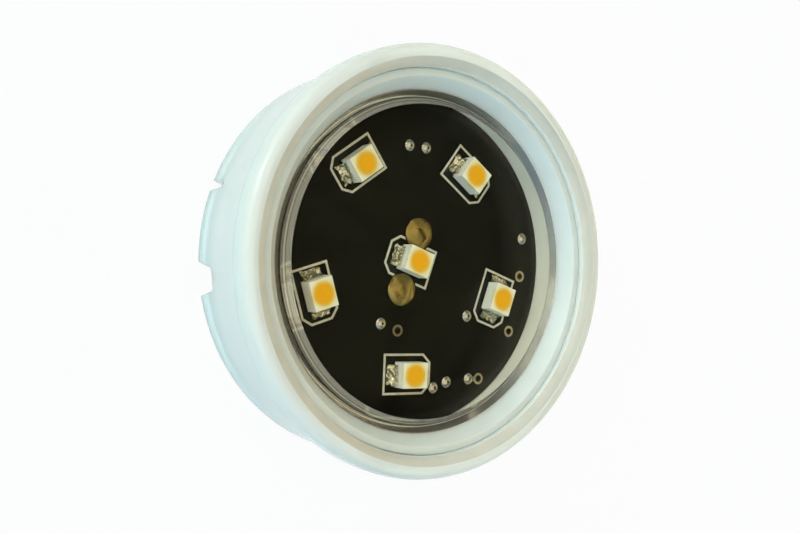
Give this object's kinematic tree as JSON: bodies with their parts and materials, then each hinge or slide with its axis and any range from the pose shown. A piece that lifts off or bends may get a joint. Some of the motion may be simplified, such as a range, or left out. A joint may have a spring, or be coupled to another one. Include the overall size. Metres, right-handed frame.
{
  "type": "led module",
  "caption": "Round recessed LED module: a clear flanged housing and a grooved clear cover over a black board with warm white surface-mounted LEDs.",
  "frame": {"origin": "centre of the rear rim, on the plane that the module stands on", "axes": "+Z along the light, from the rear rim to the front; +X and +Y are the board's right and up as the light faces the viewer"},
  "size_m": [0.0464, 0.0464, 0.0138],
  "materials": {
    "clear_shell": "clear, polished",
    "clear_window": "clear, polished",
    "white_ring": "satin white",
    "rear_plastic": "satin, pale grey",
    "black_board": "black solder mask",
    "print": "thin pale ink",
    "plating": "plated",
    "solder": "bright solder",
    "pin_brass": "polished",
    "led_plastic": "moulded, cream",
    "phosphor": "smooth silicone",
    "tinned_lead": "tinned",
    "led_crystal": "smooth",
    "black_epoxy": "moulded, black",
    "ceramic": "fired, tan"
  },
  "bodies": {
    "root": {"housing": "clear_shell", "front_cover": "clear_window", "carrier_ring": "white_ring", "rear_cover": "rear_plastic", "circuit_board": "black_board", "printed_outlines": "print", "via_plating": "plating", "via_solder": "solder", "supply_pin_1": "pin_brass", "supply_pin_2": "pin_brass", "led_body_1": "led_plastic", "led_body_2": "led_plastic", "led_body_3": "led_plastic", "led_body_4": "led_plastic", "led_body_5": "led_plastic", "led_body_6": "led_plastic", "led_phosphor_1": "phosphor", "led_phosphor_2": "phosphor", "led_phosphor_3": "phosphor", "led_phosphor_4": "phosphor", "led_phosphor_5": "phosphor", "led_phosphor_6": "phosphor", "led_cathode_1": "tinned_lead", "led_cathode_2": "tinned_lead", "led_cathode_3": "tinned_lead", "led_cathode_4": "tinned_lead", "led_cathode_5": "tinned_lead", "led_cathode_6": "tinned_lead", "led_anode_1": "tinned_lead", "led_anode_2": "tinned_lead", "led_anode_3": "tinned_lead", "led_anode_4": "tinned_lead", "led_anode_5": "tinned_lead", "led_anode_6": "tinned_lead", "led_chip_1": "led_crystal", "led_chip_2": "led_crystal", "led_chip_3": "led_crystal", "led_chip_4": "led_crystal", "led_chip_5": "led_crystal", "led_chip_6": "led_crystal", "led_solder": "solder", "bridge_rectifier": "black_epoxy", "rectifier_leads": "tinned_lead", "series_resistor_1": "black_epoxy", "series_resistor_2": "black_epoxy", "resistor_end_caps": "tinned_lead", "filter_capacitor": "ceramic", "capacitor_end_caps": "tinned_lead"}
  },
  "joints": []
}
